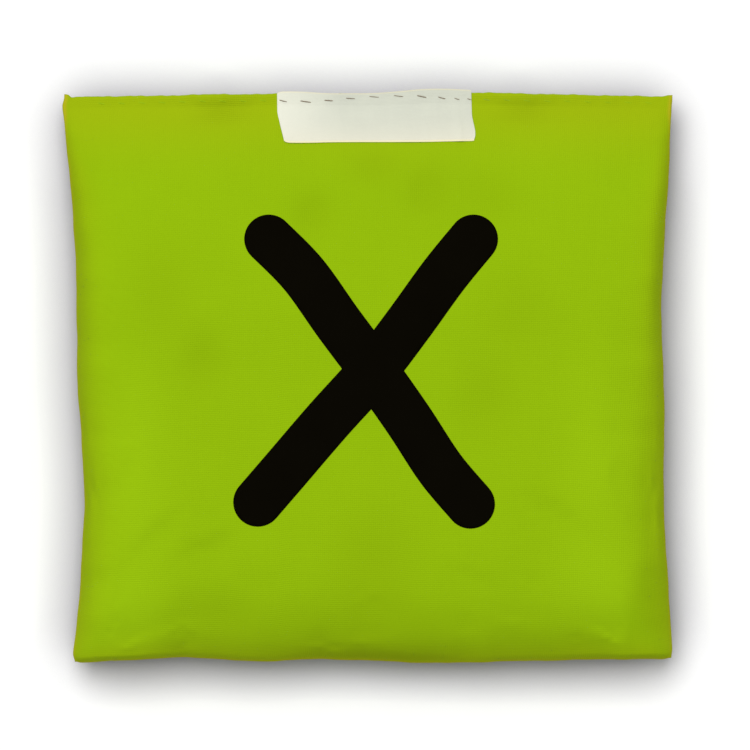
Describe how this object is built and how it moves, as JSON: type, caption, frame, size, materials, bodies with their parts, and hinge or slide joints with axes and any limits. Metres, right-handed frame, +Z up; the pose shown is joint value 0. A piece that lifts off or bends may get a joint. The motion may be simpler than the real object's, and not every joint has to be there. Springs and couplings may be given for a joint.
{
  "type": "toss bean bag",
  "caption": "Square cloth toss bag filled with pellets, with a printed cross, a topstitched closing hem and a bare tape label that lifts.",
  "frame": {"origin": "on the ground that the bag lies on, under the centre of its outline with the label", "axes": "+X along the hem, to the right as the cross is seen; +Y from the bottom seam toward the hem with the label; +Z up through the thickness, out of the printed face"},
  "size_m": [0.12, 0.113, 0.0203],
  "materials": {
    "cover_cloth": "matte lime green woven cotton",
    "pellets": "natural plastic pellets",
    "print_ink": "flat black textile print",
    "label_tape": "off-white satin tape, bare",
    "seam_thread": "lime sewing thread",
    "closing_thread": "dark red-brown sewing thread"
  },
  "bodies": {
    "cover": {"front_panel": "cover_cloth", "back_panel": "cover_cloth", "pellet_fill": "pellets", "cross_print": "print_ink", "label_heading": "label_tape", "seam_needle_thread": "seam_thread", "seam_bobbin_thread": "seam_thread", "closing_needle_thread": "closing_thread", "closing_bobbin_thread": "closing_thread"},
    "label": {"label_flap": "label_tape"}
  },
  "joints": [
    {"name": "label_lift", "type": "hinge", "parent": "cover", "child": "label", "pos_m": [0.00135, 0.05443, 0.00971], "axis": [-1, 0, 0], "range_deg": [0, 145]}
  ]
}
